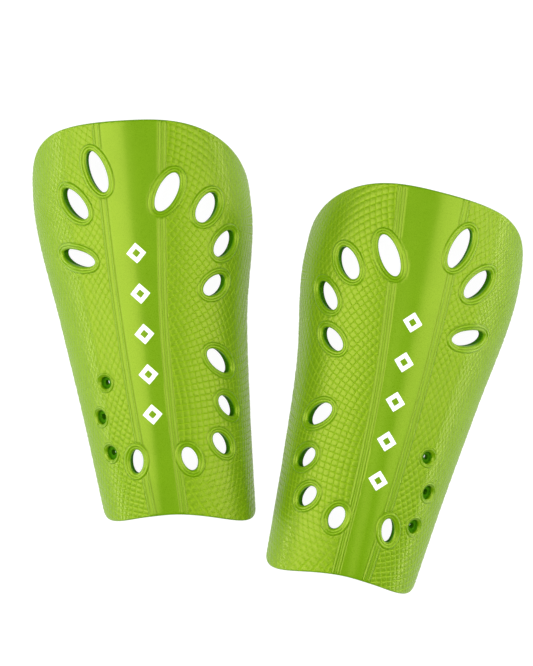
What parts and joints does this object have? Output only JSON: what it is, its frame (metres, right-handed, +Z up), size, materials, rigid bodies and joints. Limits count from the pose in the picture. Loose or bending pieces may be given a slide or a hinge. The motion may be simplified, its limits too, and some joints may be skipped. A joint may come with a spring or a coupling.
{
  "type": "shin guards",
  "caption": "Pair of perforated moulded shin guards with a smooth central band, scale texture, foam backing and knitted lining, lying arch up.",
  "frame": {"origin": "centre of the pair's footprint, on the surface that the guards lie on", "axes": "+X to the right across the pair, +Y towards the knee ends, +Z up, away from the surface"},
  "size_m": [0.2691, 0.2552, 0.0416],
  "materials": {
    "shell": "satin lime green moulded plastic, scale textured wings and a smooth band",
    "foam": "closed-cell foam, dark green, matt",
    "lining": "fine knitted lining, dark green",
    "print": "white printed film"
  },
  "bodies": {
    "left_guard": {"left_shell": "shell", "left_foam_backing": "foam", "left_lining": "lining", "left_print_marks": "print"},
    "right_guard": {"right_shell": "shell", "right_foam_backing": "foam", "right_lining": "lining", "right_print_marks": "print"}
  },
  "joints": [
    {"name": "right_guard_lift", "type": "slide", "parent": "left_guard", "child": "right_guard", "axis": [0, 0, 1], "range_m": [0, 0.12]}
  ]
}
